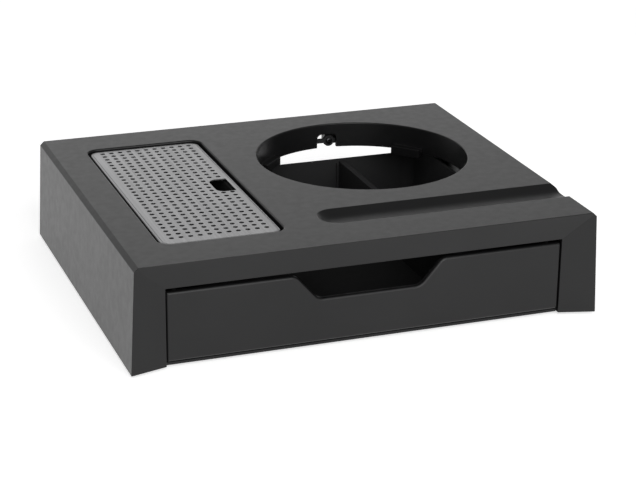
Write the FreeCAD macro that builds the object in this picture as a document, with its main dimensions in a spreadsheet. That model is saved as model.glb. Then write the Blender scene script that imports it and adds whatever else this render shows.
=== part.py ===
import FreeCAD, Part
import math
import os
import re

import Sketcher

# A hospitality tray for a hotel room: a moulded housing with a kettle seat, a drip recess and
# a trough in its top, and a drawer behind a bevelled surround in its front.
# Millimetres, +Z up, front towards -Y, origin on the floor under the middle of the housing.

doc = FreeCAD.newDocument("HospitalityTray")
sheet = doc.addObject("Spreadsheet::Sheet", "Sizes")

sizes = {
    # whole tray
    "standHeight": 2.0,          # feet below the housing's lower edge
    "overrun": 2.0,              # how far a cut passes the face it opens
    # top of the housing, from left to right
    "wellLeftMargin": 29.15,
    "wellWidth": 94.15,
    "seatWellGap": 29.1,
    "seatDiameter": 169.0,
    "seatRightMargin": 31.0,
    # top of the housing, from front to back
    "troughFrontMargin": 39.0,
    "troughWidth": 31.0,
    "troughSeatGap": 27.6,
    "seatRearMargin": 28.4,
    "wellFrontMargin": 37.5,
    "wellRearMargin": 34.9,
    # housing shell
    "sideLean": 3.8,             # each side wall leans in by this much
    "headerHeight": 21.0,        # drawer opening up to the top
    "openingHeight": 59.0,
    "edgeChamfer": 3.0,          # along the left and right edges of the top
    "wallThick": 3.0,
    "topThick": 3.0,
    "frontWallDepth": 11.5,
    "surroundDepth": 7.3,        # from the foremost edge back to the drawer opening
    "frontLand": 0.6,            # narrow flat along the foremost edge
    "rearLipHeight": 15.0,
    "rearPillar": 19.0,
    # kettle seat
    "seatEdgeBevel": 0.6,
    "skirtDepth": 20.7,
    "skirtThick": 3.0,
    "ledgeDrop": 17.0,           # top face down to the ledges that carry a kettle base
    "ledgeHeight": 7.0,
    "ledgeReach": 6.5,
    "ledgeWidth": 26.0,
    "rightLedgeTurn": 41.0,      # degrees up or down from the seat's left-to-right axis
    "leftLedgeTurn": 44.2,
    # cord notch in the back of the skirt, and what clamps the cord there
    "notchShift": 1.4,           # from the seat's middle, to the right
    "notchWidth": 17.0,
    "notchHeight": 11.5,
    "notchCorner": 4.0,
    "clampPostWidth": 10.0,
    "clampPostDepth": 8.0,
    "clampPostRise": 1.0,        # above the skirt's lower edge
    "clampPostWall": 1.1,        # left of the clamp screw's pilot hole
    "clampDrop": 1.2,            # below the middle of the notch
    "clampSkirtGap": 0.5,
    "clampBarLength": 23.0,
    "clampBarHeight": 3.5,
    "clampBarThick": 3.0,
    "clampBossDiameter": 9.5,
    "clampScrewOffset": 3.2,     # from the notch's middle to the clamp screw
    # drip recess
    "wellCorner": 10.0,
    "wellDepth": 6.0,
    "wellShelf": 5.0,            # shelf that carries the drip tray's rim
    "wellShelfThick": 2.5,
    "wellWallThick": 3.0,
    "wellEdgeBevel": 0.8,
    # trough in the top, open at the right side
    "troughWellGap": 29.7,       # drip recess to the trough's rounded end
    "troughDepth": 5.0,
    "troughBackRun": 7.0,        # back edge to the floor, in plan
    "troughFrontRun": 11.5,
    "troughEndRun": 7.0,
    "troughFloorRound": 13.0,
    "troughSkin": 2.5,
    "troughEndShare": 0.48,      # end radius as a share of the width
    # screw posts under the top
    "postDiameter": 9.0,
    "postInset": 10.5,
    "postFrontInset": 27.5,
    "postRearInset": 19.5,
    "postRibThick": 2.0,
    "postRunnerGap": 3.1,
    "pilotDepth": 14.0,
    # base panel
    "panelThick": 2.0,
    "panelGap": 0.4,
    "panelSetback": 10.5,        # foremost edge of the housing to the panel's tongue
    # screws
    "screwDiameter": 3.0,
    "screwPlay": 0.2,            # hole over screw, in diameter
    "screwHeadDiameter": 5.6,
    "screwHeadHeight": 1.5,
    "smallSides": 8,             # flats that stand for the round of a screw or its hole
    "baseScrewLength": 12.0,     # under the head, as for the others
    "runnerScrewLength": 6.0,
    "frontScrewLength": 5.5,
    "clampScrewLength": 9.0,
    # feet
    "footDiameter": 16.0,
    "footInsetX": 28.0,
    "footInsetY": 32.0,
    # drawer face plate
    "faceInset": 0.2,            # behind the inner edge of the surround
    "faceThick": 4.0,
    "faceSideGap": 0.6,
    "faceTopGap": 2.9,
    "faceBottomGap": 3.4,        # above the housing's lower edge
    "faceEdgeBevel": 0.7,
    "handleTopWidth": 113.0,
    "handleBottomWidth": 79.0,
    "handleDepth": 19.5,
    "handleCorner": 9.0,
    "handleLipRound": 8.0,
    # drawer box
    "boxSideGap": 6.9,           # side of the box to the edge of the drawer opening
    "boxRearGap": 18.5,
    "boxPanelGap": 2.0,
    "boxRimDrop": 14.0,          # below the top of the drawer opening
    "boxSideRise": 10.0,         # the side walls stand above the rim of the rear wall
    "boxWall": 2.5,
    "boxFloor": 2.0,
    "boxRearCorner": 12.0,
    "boxFrontCorner": 4.0,
    "boxFrontTopGap": 1.0,       # front wall of the box below the face plate's top
    "boxHandleInset": 3.0,       # the box's own cut-out is this much narrower each side
    "railDepth": 5.0,
    "railThick": 3.0,
    "railLift": 18.0,            # above the box's underside
    "railFrontSetback": 6.0,
    "railRearSetback": 4.0,
    "frontScrewInset": 37.4,
    "frontScrewLow": 12.6,       # above the face plate's lower edge
    "frontScrewHigh": 18.1,      # below its upper edge
    # drawer divider
    "dividerInset": 66.7,        # from the right side of the box
    "dividerThick": 5.5,
    "dividerDrop": 1.5,          # below the rim
    "dividerGap": 0.15,
    "dividerGuide": 2.0,
    # drawer runners
    "runnerPlay": 0.3,
    "runnerSidePlay": 0.4,
    "runnerWallGap": 0.8,
    "runnerLipThick": 2.0,
    "runnerWeb": 2.0,
    "runnerFootWidth": 9.0,
    "runnerFootHeight": 6.0,
    "runnerFrontGap": 3.5,       # behind the front wall
    "runnerStop": 2.0,
    "runnerScrewSetback": 40.0,
    # drip tray
    "panPlay": 0.3,
    "panRimThick": 1.5,
    "panWall": 1.5,
    "panDepth": 14.0,
    "panShelfPlay": 1.0,
    "panCorner": 8.0,
    # drip grille
    "grilleGap": 2.0,
    "grilleCorner": 8.0,
    "grilleHeight": 3.0,
    "grilleSheet": 0.8,
    "grilleEdgeBevel": 1.0,
    "perforationDiameter": 3.8,
    "perforationSides": 4,       # flats that stand for the round of each hole
    "perforationPitchX": 7.14,
    "perforationPitchY": 7.38,
    "perforationBorderX": 18.0,  # both plain margins together
    "perforationBorderY": 18.0,
    "perforationShiftX": 0.675,
    "perforationShiftY": 2.9,
    "fingerWidth": 14.6,
    "fingerLength": 28.4,
    "fingerEdge": 4.8,           # right edge of the grille to the finger hole
    "fingerShiftY": 1.0,
    "fingerCorner": 6.5,
    "fingerMargin": 0.05,        # plain metal kept round the finger hole
}

# Sizes and places that follow from those, in words of the same sheet

derived = {
    "topWidth": "wellLeftMargin + wellWidth + seatWellGap + seatDiameter + seatRightMargin",
    "baseWidth": "topWidth + sideLean * 2",
    "housingDepth": "troughFrontMargin + troughWidth + troughSeatGap + seatDiameter + seatRearMargin",
    "housingHeight": "openingHeight + headerHeight",
    "frontEdge": "-housingDepth / 2",
    "rearEdge": "housingDepth / 2",
    "frontInside": "frontEdge + frontWallDepth",
    "rearInside": "rearEdge - wallThick",
    "lowerEdge": "standHeight",
    "openingTop": "lowerEdge + openingHeight",
    "topFace": "lowerEdge + housingHeight",
    "topUnder": "topFace - topThick",
    "panelTop": "lowerEdge + panelThick",
    # kettle seat and cord clamp
    "seatX": "topWidth / 2 - seatRightMargin - seatDiameter / 2",
    "seatY": "rearEdge - seatRearMargin - seatDiameter / 2",
    "skirtUnder": "topFace - skirtDepth",
    "notchX": "seatX + notchShift",
    "clampX": "notchX + clampScrewOffset",
    "clampPostLeft": "clampX - pilotRadius - clampPostWall",
    "clampFront": "seatY + seatDiameter / 2 + skirtThick + clampSkirtGap",
    "clampBack": "clampFront + clampBarThick",
    "clampLevel": "skirtUnder + notchHeight / 2 - clampDrop",
    # drip recess, drip tray and grille
    "wellLength": "housingDepth - wellFrontMargin - wellRearMargin",
    "wellX": "-topWidth / 2 + wellLeftMargin + wellWidth / 2",
    "wellY": "(wellFrontMargin - wellRearMargin) / 2",
    "shelfTop": "topFace - wellDepth",
    "panWidth": "wellWidth - wellShelf * 2 - panShelfPlay * 2",
    "panLength": "wellLength - wellShelf * 2 - panShelfPlay * 2",
    "rimTop": "shelfTop + panRimThick",
    "grilleWidth": "wellWidth - grilleGap * 2",
    "grilleLength": "wellLength - grilleGap * 2",
    "grilleTop": "rimTop + grilleHeight",
    # trough
    "troughEnd": "wellX + wellWidth / 2 + troughWellGap",
    "troughFront": "frontEdge + troughFrontMargin",
    "troughBack": "troughFront + troughWidth",
    "troughFloorWidth": "troughWidth - troughFrontRun - troughBackRun",
    "troughFloorLevel": "topFace - troughDepth",
    # posts, runners, drawer box and drawer opening, from the side wall inwards
    "postX": "baseWidth / 2 - postInset",
    "runnerFootSide": "postX - postDiameter / 2 - postRunnerGap",
    "runnerOuter": "runnerFootSide - runnerFootWidth",
    "runnerInner": "runnerOuter - runnerWeb",
    "boxHalf": "runnerInner - runnerSidePlay - railDepth",
    "openingHalf": "boxHalf + boxSideGap",
    "pilotRadius": "(screwDiameter + screwPlay) / 2",
    # drawer
    "faceFront": "frontEdge + surroundDepth + faceInset",
    "faceBack": "faceFront + faceThick",
    "faceHalf": "openingHalf - faceSideGap",
    "faceTop": "openingTop - faceTopGap",
    "faceBottom": "lowerEdge + faceBottomGap",
    "boxRear": "rearEdge - boxRearGap",
    "boxUnder": "panelTop + boxPanelGap",
    "boxInside": "boxUnder + boxFloor",
    "boxRim": "openingTop - boxRimDrop",
    "boxFrontTop": "faceTop - boxFrontTopGap",
    "railUnder": "boxUnder + railLift",
    "railFront": "faceBack + railFrontSetback",
    "railRear": "boxRear - boxRearCorner - railRearSetback",
    "dividerX": "boxHalf - dividerInset",
    # runners
    "runnerFront": "frontInside + runnerFrontGap",
    "runnerStopFace": "railRear + runnerPlay",
    "slotLow": "railUnder - runnerPlay",
    "slotHigh": "railUnder + railThick + runnerPlay",
}

# Shares of a length that still count as no distance, and as the whole of it

nearShare = 0.001
wholeShare = 0.9

upward = (0, 0, 1)
forward = (0, -1, 0)
backward = (0, 1, 0)

for row, (name, amount) in enumerate(sizes.items(), start=1):
    sheet.set("A%d" % row, name)
    sheet.set("B%d" % row, str(amount))
    sheet.setAlias("B%d" % row, name)
doc.recompute()


def spell(formula, owner):
    # puts each derived word's own formula in its place, and the sheet's name before each cell's
    def word(found):
        name = found.group()
        if name in derived:
            return "(%s)" % spell(derived[name], owner)
        return owner + name if name in sizes else name

    return re.sub(r"[A-Za-z]\w*", word, formula)


def number(formula):
    return float(sheet.evalExpression(spell(formula, "")))


def bind(thing, prop, formula):
    thing.setExpression(prop, spell(formula, "Sizes."))


# Sketches, whose every point is tied to the sheet

def addBody(label):
    body = doc.addObject("PartDesign::Body", label)
    body.Label = label
    return body


def addSketch(body, name, role, height, x="0", y="0"):
    sketch = body.newObject("Sketcher::SketchObject", name)
    planes = [f for f in body.Origin.OriginFeatures if f.Role == role]
    sketch.AttachmentSupport = [(planes[0], "")]
    sketch.MapMode = "FlatFace"
    bind(sketch, "AttachmentOffset.Base.x", x)
    bind(sketch, "AttachmentOffset.Base.y", y)
    bind(sketch, "AttachmentOffset.Base.z", height)
    return sketch


def planSketch(body, name, z, x="0", y="0"):
    return addSketch(body, name, "XY_Plane", z, x, y)


def frontSketch(body, name, y):
    return addSketch(body, name, "XZ_Plane", "-(%s)" % y)


def addSize(sketch, kind, places, formula):
    index = sketch.addConstraint(Sketcher.Constraint(kind, *places, number(formula)))
    bind(sketch, "Constraints[%d]" % index, formula)


def pinPoint(sketch, geometry, end, x, y):
    addSize(sketch, "DistanceX", (-1, 1, geometry, end), x)
    addSize(sketch, "DistanceY", (-1, 1, geometry, end), y)


def addCircle(sketch, x, y, radius):
    middle = FreeCAD.Vector(number(x), number(y), 0)
    circle = sketch.addGeometry(Part.Circle(middle, FreeCAD.Vector(0, 0, 1), number(radius)))
    pinPoint(sketch, circle, 3, x, y)
    addSize(sketch, "Radius", (circle,), radius)


def addSmallRound(sketch, x, y, radius):
    turns = ["(%d * 360 / smallSides)" % i for i in range(int(number("smallSides")))]
    addOutline(sketch, [("%s + %s * cos(%s)" % (x, radius, turn), "%s + %s * sin(%s)" % (y, radius, turn))
                        for turn in turns])


def cornerArc(before, corner, after, radius):
    # arc that is tangent to both edges of a corner, with the ends where it meets them
    arriving = (corner - before).normalize()
    leaving = (after - corner).normalize()
    reach = radius * math.tan(arriving.getAngle(leaving) / 2)
    left = arriving.x * leaving.y - arriving.y * leaving.x > 0
    start = corner - arriving * reach
    end = corner + leaving * reach
    side = FreeCAD.Vector(-arriving.y, arriving.x, 0)
    middle = start + side * (radius if left else -radius)
    first, last = (start, end) if left else (end, start)
    angles = [math.atan2(p.y - middle.y, p.x - middle.x) for p in (first, last)]
    circle = Part.Circle(middle, FreeCAD.Vector(0, 0, 1), radius)
    return Part.ArcOfCircle(circle, *angles), start, end, left


def addOutline(sketch, corners):
    # closed outline of straight edges, with a tangent arc at each corner that has a radius
    points = [FreeCAD.Vector(number(c[0]), number(c[1]), 0) for c in corners]
    starts = list(points)
    ends = list(points)
    arcs = {}
    for i, corner in enumerate(corners):
        if len(corner) == 3:
            after = points[(i + 1) % len(points)]
            arc, ends[i], starts[i], left = cornerArc(points[i - 1], points[i], after, number(corner[2]))
            arcs[i] = (sketch.addGeometry(arc), left)
    edges = []
    for i in range(len(points)):
        edge = Part.LineSegment(starts[i], ends[(i + 1) % len(points)])
        edges.append(sketch.addGeometry(edge))
    for i, corner in enumerate(corners):
        if i not in arcs:
            sketch.addConstraint(Sketcher.Constraint("Coincident", edges[i - 1], 2, edges[i], 1))
            pinPoint(sketch, edges[i], 1, corner[0], corner[1])
            continue
        arc, left = arcs[i]
        entry, leave = (1, 2) if left else (2, 1)
        sketch.addConstraint(Sketcher.Constraint("Tangent", edges[i - 1], 2, arc, entry))
        sketch.addConstraint(Sketcher.Constraint("Tangent", arc, leave, edges[i], 1))
        addSize(sketch, "Radius", (arc,), corner[2])
        sharp = sketch.addGeometry(Part.Point(points[i]), True)
        sketch.addConstraint(Sketcher.Constraint("PointOnObject", sharp, 1, edges[i - 1]))
        sketch.addConstraint(Sketcher.Constraint("PointOnObject", sharp, 1, edges[i]))
        pinPoint(sketch, sharp, 1, corner[0], corner[1])


def rectangle(left, right, low, high, *radius):
    return [(left, low, *radius), (right, low, *radius), (right, high, *radius), (left, high, *radius)]


def centred(x, y, width, length, *radius):
    sides = ("%s - (%s) / 2" % (x, width), "%s + (%s) / 2" % (x, width))
    ends = ("%s - (%s) / 2" % (y, length), "%s + (%s) / 2" % (y, length))
    return rectangle(*sides, *ends, *radius)


# Features

def addFeature(body, kind, sketch, length, reverse):
    feature = body.newObject("PartDesign::" + kind, sketch.Name + kind)
    feature.Profile = sketch
    feature.Reversed = reverse
    bind(feature, "Length", length)
    body.Tip = feature
    doc.recompute()
    return feature


def addPad(body, sketch, length, reverse=False):
    return addFeature(body, "Pad", sketch, length, reverse)


def addPocket(body, sketch, length, reverse=False):
    before = body.Shape.Volume
    feature = addFeature(body, "Pocket", sketch, length, reverse)
    if not body.Shape.Volume < before:
        raise RuntimeError(sketch.Name + " cuts nothing")
    return feature


def cutLoft(body, name, first, second):
    before = body.Shape.Volume
    loft = body.newObject("PartDesign::SubtractiveLoft", name)
    loft.Profile = first
    loft.Sections = [second]
    loft.Ruled = True
    body.Tip = loft
    doc.recompute()
    if not body.Shape.Volume < before:
        raise RuntimeError(name + " cuts nothing")
    return loft


def easeEdges(body, name, kind, base, chosen, size):
    names = ["Edge%d" % i for i, edge in enumerate(base.Shape.Edges, start=1) if chosen(edge)]
    eased = body.newObject("PartDesign::" + kind, name)
    eased.Base = (base, names)
    bind(eased, "Size" if kind == "Chamfer" else "Radius", size)
    body.Tip = eased
    doc.recompute()


def near(first, second):
    return abs(first - second) < number("overrun") * nearShare


def atHeight(edge, z):
    return near(edge.BoundBox.ZMin, number(z)) and near(edge.BoundBox.ZMax, number(z))


def within(edge, outline):
    xs = [number(c[0]) for c in outline]
    ys = [number(c[1]) for c in outline]
    box = edge.BoundBox
    slack = number("overrun") * nearShare
    return (min(xs) - slack < box.XMin and box.XMax < max(xs) + slack
            and min(ys) - slack < box.YMin and box.YMax < max(ys) + slack)


# Housing: shell, surround, kettle seat, drip recess, trough and posts in one moulding

def housingShell(body):
    shoulder = "(topWidth / 2 + sideLean * edgeChamfer / housingHeight)"
    crown = "(topWidth / 2 - edgeChamfer)"
    section = frontSketch(body, "outerSection", "frontEdge")
    addOutline(section, [("-baseWidth / 2", "lowerEdge"), ("baseWidth / 2", "lowerEdge"),
                         (shoulder, "topFace - edgeChamfer"), (crown, "topFace"),
                         ("-" + crown, "topFace"), ("-" + shoulder, "topFace - edgeChamfer")])
    addPad(body, section, "housingDepth", reverse=True)
    lowHalf = "(baseWidth / 2 - wallThick)"
    highHalf = "(topWidth / 2 - wallThick)"
    cavity = frontSketch(body, "cavitySection", "frontInside")
    addOutline(cavity, [("-" + lowHalf, "lowerEdge - overrun"), (lowHalf, "lowerEdge - overrun"),
                        (highHalf, "topUnder"), ("-" + highHalf, "topUnder")])
    addPocket(body, cavity, "rearInside - frontInside")
    rear = frontSketch(body, "rearOpening", "rearInside - overrun")
    addOutline(rear, rectangle("-baseWidth / 2 + rearPillar", "baseWidth / 2 - rearPillar",
                               "lowerEdge - overrun", "topFace - rearLipHeight"))
    addPocket(body, rear, "wallThick + overrun * 2")


def housingSurround(body):
    # faces that slope in from the foremost edge to the drawer opening, mitred at the top corners
    outer = frontSketch(body, "surroundOuter", "frontEdge")
    wide = "(baseWidth / 2 - frontLand)"
    narrow = "(topWidth / 2 - frontLand)"
    addOutline(outer, [("-" + wide, "lowerEdge - overrun"), (wide, "lowerEdge - overrun"),
                       (narrow, "topFace - frontLand"), ("-" + narrow, "topFace - frontLand")])
    inner = frontSketch(body, "surroundInner", "frontEdge + surroundDepth")
    opening = rectangle("-openingHalf", "openingHalf", "lowerEdge - overrun", "openingTop")
    addOutline(inner, opening)
    cutLoft(body, "surroundBevel", outer, inner)
    through = frontSketch(body, "drawerOpening", "frontEdge")
    addOutline(through, opening)
    addPocket(body, through, "frontWallDepth + overrun")


def postPlaces():
    rows = ("frontEdge + postFrontInset", "rearEdge - postRearInset")
    return [("%d * postX" % side, y) for side in (-1, 1) for y in rows]


def housingPosts(body):
    posts = planSketch(body, "posts", "panelTop")
    ribs = planSketch(body, "postRibs", "panelTop")
    pilots = planSketch(body, "postPilots", "panelTop")
    for x, y in postPlaces():
        addSmallRound(posts, x, y, "(postDiameter / 2)")
        addSmallRound(pilots, x, y, "pilotRadius")
        outward = "topWidth / 2 - wallThick / 2"
        spans = (x, outward) if number(x) > 0 else ("-(%s)" % outward, x)
        addOutline(ribs, rectangle(*spans, y + " - postRibThick / 2", y + " + postRibThick / 2"))
    reach = "topUnder + topThick / 2 - panelTop"
    addPad(body, posts, reach)
    addPad(body, ribs, reach)
    addPocket(body, pilots, "pilotDepth", reverse=True)


def housingSeat(body):
    skirt = planSketch(body, "skirt", "skirtUnder")
    addCircle(skirt, "seatX", "seatY", "seatDiameter / 2 + skirtThick")
    addPad(body, skirt, "skirtDepth - topThick / 2")
    hole = planSketch(body, "seatHole", "topFace")
    addCircle(hole, "seatX", "seatY", "seatDiameter / 2")
    cut = addPocket(body, hole, "skirtDepth")
    edge = centred("seatX", "seatY", "seatDiameter", "seatDiameter")
    easeEdges(body, "seatEdge", "Chamfer", cut, lambda e: atHeight(e, "topFace") and within(e, edge),
              "seatEdgeBevel")
    turns = ("rightLedgeTurn", "180 - leftLedgeTurn", "180 + leftLedgeTurn", "-rightLedgeTurn")
    for i, turn in enumerate(turns, start=1):
        ledge = planSketch(body, "ledge%d" % i, "topFace - ledgeDrop - ledgeHeight", "seatX", "seatY")
        bind(ledge, "AttachmentOffset.Rotation.Angle", turn)
        addOutline(ledge, rectangle("seatDiameter / 2 - ledgeReach", "seatDiameter / 2 + skirtThick / 2",
                                    "-ledgeWidth / 2", "ledgeWidth / 2"))
        addPad(body, ledge, "ledgeHeight")


def housingCordExit(body):
    left = "notchX - notchWidth / 2"
    right = "notchX + notchWidth / 2"
    notch = frontSketch(body, "cordNotch", "seatY + seatDiameter / 2 - skirtThick")
    addOutline(notch, [(left, "skirtUnder - overrun"), (right, "skirtUnder - overrun"),
                       (right, "skirtUnder + notchHeight", "notchCorner"),
                       (left, "skirtUnder + notchHeight", "notchCorner")])
    addPocket(body, notch, "skirtThick * 2 + overrun")
    post = planSketch(body, "clampPost", "skirtUnder + clampPostRise")
    addOutline(post, rectangle("clampPostLeft", "clampPostLeft + clampPostWidth",
                               "clampBack", "clampBack + clampPostDepth"))
    addPad(body, post, "skirtDepth - clampPostRise - topThick / 2")
    pilot = frontSketch(body, "clampPilot", "clampBack")
    addSmallRound(pilot, "clampX", "clampLevel", "pilotRadius")
    addPocket(body, pilot, "clampPostDepth + overrun")


def housingWell(body):
    walls = planSketch(body, "wellWalls", "shelfTop - wellShelfThick")
    addOutline(walls, centred("wellX", "wellY", "wellWidth + wellWallThick * 2",
                              "wellLength + wellWallThick * 2", "wellCorner + wellWallThick"))
    addPad(body, walls, "wellDepth + wellShelfThick - topThick / 2")
    recess = planSketch(body, "wellRecess", "topFace")
    edge = centred("wellX", "wellY", "wellWidth", "wellLength", "wellCorner")
    addOutline(recess, edge)
    addPocket(body, recess, "wellDepth")
    opening = planSketch(body, "wellOpening", "shelfTop")
    addOutline(opening, centred("wellX", "wellY", "wellWidth - wellShelf * 2",
                                "wellLength - wellShelf * 2", "wellCorner - wellShelf / 2"))
    cut = addPocket(body, opening, "wellShelfThick + overrun")
    easeEdges(body, "wellEdge", "Chamfer", cut, lambda e: atHeight(e, "topFace") and within(e, edge),
              "wellEdgeBevel")


def housingTrough(body):
    def outline(left, low, high, width):
        side = "baseWidth / 2 + overrun"
        radius = width + " * troughEndShare"
        return [(left, low, radius), (side, low), (side, high), (left, high, radius)]

    skin = planSketch(body, "troughUnder", "troughFloorLevel - troughSkin")
    addOutline(skin, rectangle("troughEnd", "topWidth / 2 - wallThick / 2", "troughFront", "troughBack"))
    addPad(body, skin, "troughDepth + troughSkin - topThick / 2")
    mouth = planSketch(body, "troughMouth", "topFace")
    addOutline(mouth, outline("troughEnd", "troughFront", "troughBack", "troughWidth"))
    floor = planSketch(body, "troughFloor", "troughFloorLevel")
    floorEdge = outline("troughEnd + troughEndRun", "troughFront + troughFrontRun",
                        "troughBack - troughBackRun", "troughFloorWidth")
    addOutline(floor, floorEdge)
    cut = cutLoft(body, "trough", mouth, floor)

    def atFloor(edge):
        across = edge.BoundBox.YMax - edge.BoundBox.YMin > number("troughFloorWidth") * wholeShare
        return atHeight(edge, "troughFloorLevel") and within(edge, floorEdge) and not across

    easeEdges(body, "troughRound", "Fillet", cut, atFloor, "troughFloorRound")


def makeHousing():
    body = addBody("housing")
    housingShell(body)
    housingSurround(body)
    housingPosts(body)
    housingSeat(body)
    housingCordExit(body)
    housingWell(body)
    housingTrough(body)
    return body


# Base panel, with holes for the screws of the posts and the runners

def runnerScrewPlaces():
    rows = ("runnerFront + runnerScrewSetback", "runnerStopFace - runnerScrewSetback")
    return [("%d * (runnerOuter + runnerFootWidth / 2)" % side, y) for side in (-1, 1) for y in rows]


def makeBasePanel():
    body = addBody("base_panel")
    half = "(baseWidth / 2 - wallThick - panelGap)"
    tongue = "(openingHalf - panelGap)"
    rear = "rearInside - panelGap"
    shoulder = "frontInside + panelGap"
    nose = "frontEdge + panelSetback"
    plate = planSketch(body, "plate", "lowerEdge")
    addOutline(plate, [("-" + half, rear), ("-" + half, shoulder), ("-" + tongue, shoulder),
                       ("-" + tongue, nose), (tongue, nose), (tongue, shoulder),
                       (half, shoulder), (half, rear)])
    addPad(body, plate, "panelThick")
    holes = planSketch(body, "screwHoles", "lowerEdge")
    for x, y in postPlaces() + runnerScrewPlaces():
        addSmallRound(holes, x, y, "pilotRadius")
    addPocket(body, holes, "panelThick", reverse=True)
    return body


# Screws: a low head and a shank on one axis, several in a group

def addRound(kind, name, x, y, z, height, radius, along):
    shape = doc.addObject("Part::" + kind, name)
    bind(shape, "Height", height)
    if kind == "Prism":
        bind(shape, "Polygon", "smallSides")
    bind(shape, "Circumradius" if kind == "Prism" else "Radius", radius)
    turned = FreeCAD.Rotation(FreeCAD.Vector(0, 0, 1), FreeCAD.Vector(*along))
    shape.Placement = FreeCAD.Placement(FreeCAD.Vector(), turned)
    bind(shape, "Placement.Base.x", x)
    bind(shape, "Placement.Base.y", y)
    bind(shape, "Placement.Base.z", z)
    return shape


def fuse(name, pieces):
    joined = doc.addObject("Part::MultiFuse", name)
    joined.Shapes = pieces
    return joined


def addScrew(name, x, y, z, length, along):
    # the head bears on the face at the given place and the shank runs on from there
    back = [-step for step in along]
    head = addRound("Prism", name + "Head", x, y, z, "screwHeadHeight", "screwHeadDiameter / 2", back)
    shank = addRound("Prism", name + "Shank", x, y, z, length, "screwDiameter / 2", along)
    return fuse(name, [head, shank])


def group(label, pieces):
    together = doc.addObject("Part::Compound", label)
    together.Label = label
    together.Links = pieces
    return together


def frontScrewPlaces():
    heights = ("faceBottom + frontScrewLow", "faceTop - frontScrewHigh")
    return [("%d * (openingHalf - frontScrewInset)" % side, z) for side in (-1, 1) for z in heights]


def makeScrews():
    base = [addScrew("baseScrew%d" % i, x, y, "lowerEdge", "baseScrewLength", upward)
            for i, (x, y) in enumerate(postPlaces(), start=1)]
    runner = [addScrew("runnerScrew%d" % i, x, y, "lowerEdge", "runnerScrewLength", upward)
              for i, (x, y) in enumerate(runnerScrewPlaces(), start=1)]
    front = [addScrew("frontScrew%d" % i, x, "faceBack + boxWall", z, "frontScrewLength", forward)
             for i, (x, z) in enumerate(frontScrewPlaces(), start=1)]
    return [group("base_screws", base), group("runner_screws", runner),
            group("drawer_front_screws", front)]


# Feet: rubber discs stuck under the base panel

def makeFeet():
    feet = []
    for end, way in (("front", -1), ("rear", 1)):
        for hand, side in (("left", -1), ("right", 1)):
            x = "%d * (baseWidth / 2 - footInsetX)" % side
            y = "%d * (rearEdge - footInsetY)" % way
            foot = addRound("Cylinder", "foot_%s_%s" % (end, hand), x, y, "0", "standHeight",
                            "footDiameter / 2", upward)
            foot.Label = foot.Name
            feet.append(foot)
    return feet


# Drawer: face plate, box with rails, divider

def handleOutline(inset, top):
    # right side down, across the bottom, left side up
    high = "(handleTopWidth / 2 - %s)" % inset
    low = "(handleBottomWidth / 2 - %s)" % inset
    floor = "faceTop - handleDepth"
    return [(high, top, "handleLipRound"), (low, floor, "handleCorner"),
            ("-" + low, floor, "handleCorner"), ("-" + high, top, "handleLipRound")]


def makeDrawerFront():
    body = addBody("drawer_front")
    face = frontSketch(body, "face", "faceBack")
    addOutline(face, [("-faceHalf", "faceBottom"), ("faceHalf", "faceBottom"), ("faceHalf", "faceTop")]
               + handleOutline("0", "faceTop") + [("-faceHalf", "faceTop")])
    addPad(body, face, "faceThick")
    holes = frontSketch(body, "faceHoles", "faceBack")
    for x, z in frontScrewPlaces():
        addSmallRound(holes, x, z, "pilotRadius")
    drilled = addPocket(body, holes, "frontScrewLength - boxWall + screwPlay", reverse=True)

    def atFront(edge):
        front = number("faceFront")
        return near(edge.BoundBox.YMin, front) and near(edge.BoundBox.YMax, front)

    easeEdges(body, "faceEdge", "Chamfer", drilled, atFront, "faceEdgeBevel")
    return body


def boxShell(body):
    corners = ("boxFrontCorner", "boxFrontCorner", "boxRearCorner", "boxRearCorner")
    outside = planSketch(body, "boxOutside", "boxUnder")
    plain = rectangle("-boxHalf", "boxHalf", "faceBack", "boxRear")
    addOutline(outside, [(*place, radius) for place, radius in zip(plain, corners)])
    addPad(body, outside, "boxRim - boxUnder")
    front = frontSketch(body, "boxFront", "faceBack")
    edge = "(boxHalf - boxFrontCorner)"
    addOutline(front, [("-" + edge, "boxUnder"), (edge, "boxUnder"), (edge, "boxFrontTop")]
               + handleOutline("boxHandleInset", "boxFrontTop") + [("-" + edge, "boxFrontTop")])
    addPad(body, front, "boxWall", reverse=True)
    inside = planSketch(body, "boxHollow", "boxRim")
    inner = rectangle("-boxHalf + boxWall", "boxHalf - boxWall", "faceBack + boxWall", "boxRear - boxWall")
    addOutline(inside, [(*place, radius + " - boxWall") for place, radius in zip(inner, corners)])
    addPocket(body, inside, "boxRim - boxInside")
    grip = frontSketch(body, "boxGrip", "faceBack - overrun")
    right, lowRight, lowLeft, left = handleOutline("boxHandleInset", "boxFrontTop")
    addOutline(grip, [left[:2], lowLeft, lowRight, right[:2]])
    addPocket(body, grip, "boxWall + overrun * 2")


def boxSides(body):
    raised = planSketch(body, "raisedSides", "boxRim - boxFloor")
    for side in (-1, 1):
        spans = ["%d * (boxHalf - boxWall)" % side, "%d * boxHalf" % side]
        addOutline(raised, rectangle(*spans[::side], "faceBack + boxFrontCorner", "boxRear - boxRearCorner"))
    addPad(body, raised, "boxFloor + boxSideRise")


def boxRails(body):
    for side, hand in ((-1, "Left"), (1, "Right")):
        rail = planSketch(body, "rail" + hand, "railUnder")
        spans = ["%d * (boxHalf - boxWall / 2)" % side, "%d * (boxHalf + railDepth)" % side]
        addOutline(rail, rectangle(*spans[::side], "railFront", "railRear"))
        addPad(body, rail, "railThick")


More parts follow.
